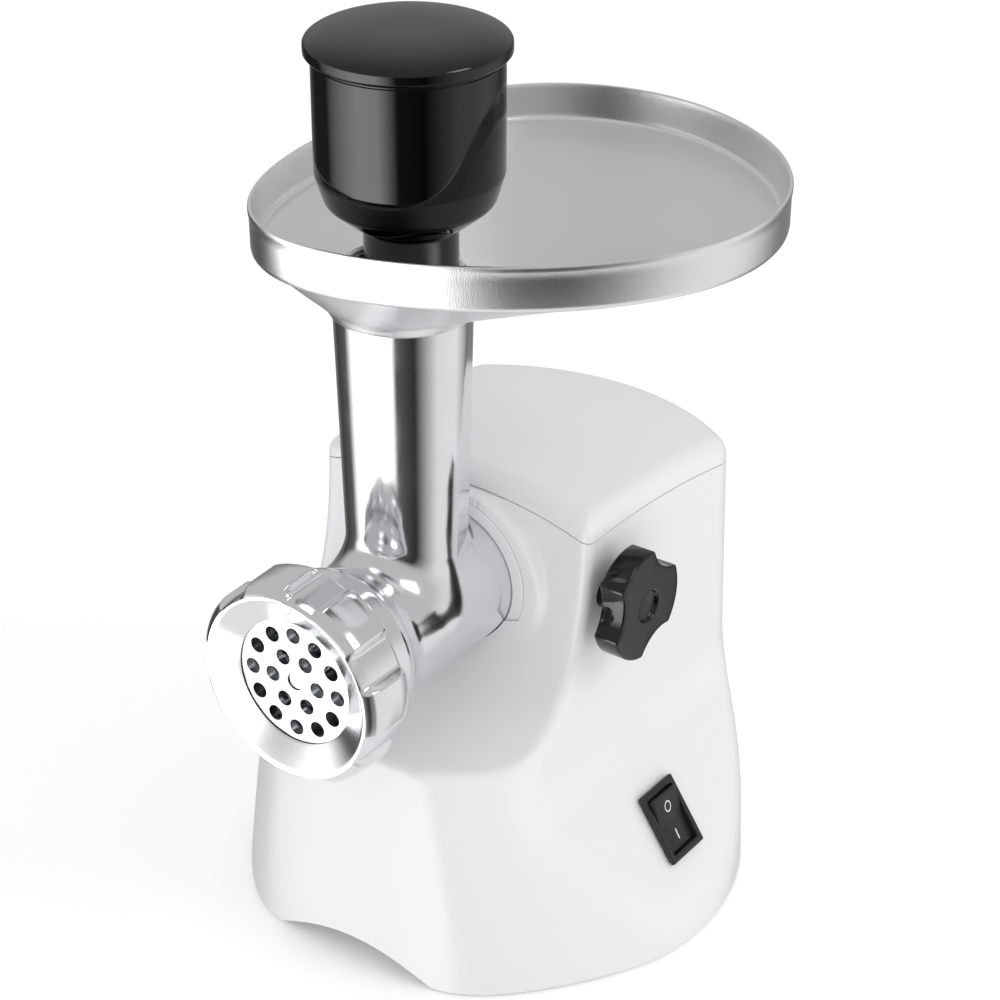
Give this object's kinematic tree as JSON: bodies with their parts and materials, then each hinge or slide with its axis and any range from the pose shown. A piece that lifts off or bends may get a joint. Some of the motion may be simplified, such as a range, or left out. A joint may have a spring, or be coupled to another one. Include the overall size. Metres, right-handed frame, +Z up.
{
  "type": "electric meat grinder",
  "caption": "Kitchen meat grinder: white drum-shaped motor base, aluminium feed head with lobed screw ring, egg-shaped tray and hollow black pusher, side clamp knob and rocker switch.",
  "frame": {"origin": "on the table below the middle of the bounding box", "axes": "+Z up, -Y towards the meat outlet, +X towards the clamp knob and the switch"},
  "size_m": [0.2357, 0.2512, 0.4006],
  "materials": {
    "white_plastic": "smooth satin white moulding",
    "grey_plastic": "plain moulded",
    "dark_rubber": "matt",
    "steel": "machined",
    "copper_winding": "varnished winding, stands for copper on laminated iron",
    "gear_nylon": "natural nylon",
    "polished_aluminium": "polished casting",
    "brushed_aluminium": "satin pressed sheet",
    "black_gloss": "high gloss black",
    "black_switch": "fine matt black"
  },
  "bodies": {
    "base": {"housing_shell": "white_plastic", "top_cover": "white_plastic", "base_plate": "grey_plastic", "foot_front_left": "dark_rubber", "foot_front_right": "dark_rubber", "foot_rear_left": "dark_rubber", "foot_rear_right": "dark_rubber", "foot_screw_front_left": "steel", "foot_screw_front_right": "steel", "foot_screw_rear_left": "steel", "foot_screw_rear_right": "steel", "outlet_collar": "white_plastic", "gearbox_case": "grey_plastic", "gearbox_cover": "grey_plastic", "motor_can": "steel", "motor_field": "copper_winding", "motor_end_bridge": "steel", "motor_cradle": "grey_plastic", "switch_body": "black_switch"},
    "rocker": {"switch_rocker": "black_switch"},
    "plunger": {"clamp_plunger": "steel"},
    "knob": {"lock_knob": "black_gloss"},
    "rotor": {"motor_shaft": "steel", "motor_armature": "copper_winding", "motor_pinion": "steel", "motor_fan": "grey_plastic"},
    "lay_shaft": {"intermediate_shaft": "steel", "intermediate_wheel": "gear_nylon", "intermediate_pinion": "steel"},
    "output": {"output_shaft": "steel", "output_gear": "gear_nylon"},
    "head": {"head_casting": "polished_aluminium", "auger_bush": "gear_nylon"},
    "screw_feed": {"auger": "polished_aluminium", "knife": "steel"},
    "screen": {"screen_plate": "steel"},
    "ring": {"screw_ring": "polished_aluminium"},
    "tray": {"tray": "brushed_aluminium"},
    "pusher": {"pusher_cup": "black_gloss"},
    "lid": {"pusher_lid": "black_gloss"}
  },
  "joints": [
    {"name": "output_spin", "type": "hinge", "parent": "base", "child": "output", "pos_m": [-0.00698, 0.03266, 0.155], "axis": [0, 1, 0], "continuous": true},
    {"name": "lay_shaft_spin", "type": "hinge", "parent": "base", "child": "lay_shaft", "pos_m": [-0.00698, 0.03266, 0.1102], "axis": [0, 1, 0], "continuous": true},
    {"name": "motor_spin", "type": "hinge", "parent": "base", "child": "rotor", "pos_m": [-0.00698, 0.06466, 0.0727], "axis": [0, 1, 0], "continuous": true},
    {"name": "head_slide", "type": "slide", "parent": "base", "child": "head", "axis": [0, -1, 0], "range_m": [0, 0.13]},
    {"name": "screw_feed_spin", "type": "hinge", "parent": "head", "child": "screw_feed", "pos_m": [-0.00698, -0.04534, 0.155], "axis": [0, 1, 0], "continuous": true},
    {"name": "screen_slide", "type": "slide", "parent": "head", "child": "screen", "axis": [0, -1, 0], "range_m": [0, 0.012]},
    {"name": "ring_turn", "type": "hinge", "parent": "screen", "child": "ring", "pos_m": [-0.00698, -0.11034, 0.155], "axis": [0, -1, 0], "range_deg": [0, 1440]},
    {"name": "tray_turn", "type": "hinge", "parent": "head", "child": "tray", "pos_m": [-0.00698, -0.04534, 0.303], "axis": [0, 0, 1], "continuous": true},
    {"name": "pusher_slide", "type": "slide", "parent": "head", "child": "pusher", "axis": [0, 0, 1], "range_m": [-0.016, 0.13]},
    {"name": "lid_lift", "type": "slide", "parent": "pusher", "child": "lid", "axis": [0, 0, 1], "range_m": [0, 0.03]},
    {"name": "rocker_tip", "type": "hinge", "parent": "base", "child": "rocker", "pos_m": [0.08292, 0.01726, 0.0464], "axis": [0, -1, 0], "range_deg": [0, 20]},
    {"name": "plunger_slide", "type": "slide", "parent": "base", "child": "plunger", "axis": [1, 0, 0], "range_m": [0, 0.006]},
    {"name": "knob_turn", "type": "hinge", "parent": "plunger", "child": "knob", "pos_m": [0.07302, -0.00084, 0.1613], "axis": [1, 0, 0], "range_deg": [0, 1240]}
  ],
  "couplings": [
    {"joint": "lay_shaft_spin", "follows": "output_spin", "ratio": -3},
    {"joint": "motor_spin", "follows": "output_spin", "ratio": 12},
    {"joint": "screw_feed_spin", "follows": "output_spin", "ratio": 1},
    {"joint": "ring_turn", "follows": "screen_slide", "rad_per_m": 2094.4},
    {"joint": "knob_turn", "follows": "plunger_slide", "rad_per_m": 3590.4}
  ]
}
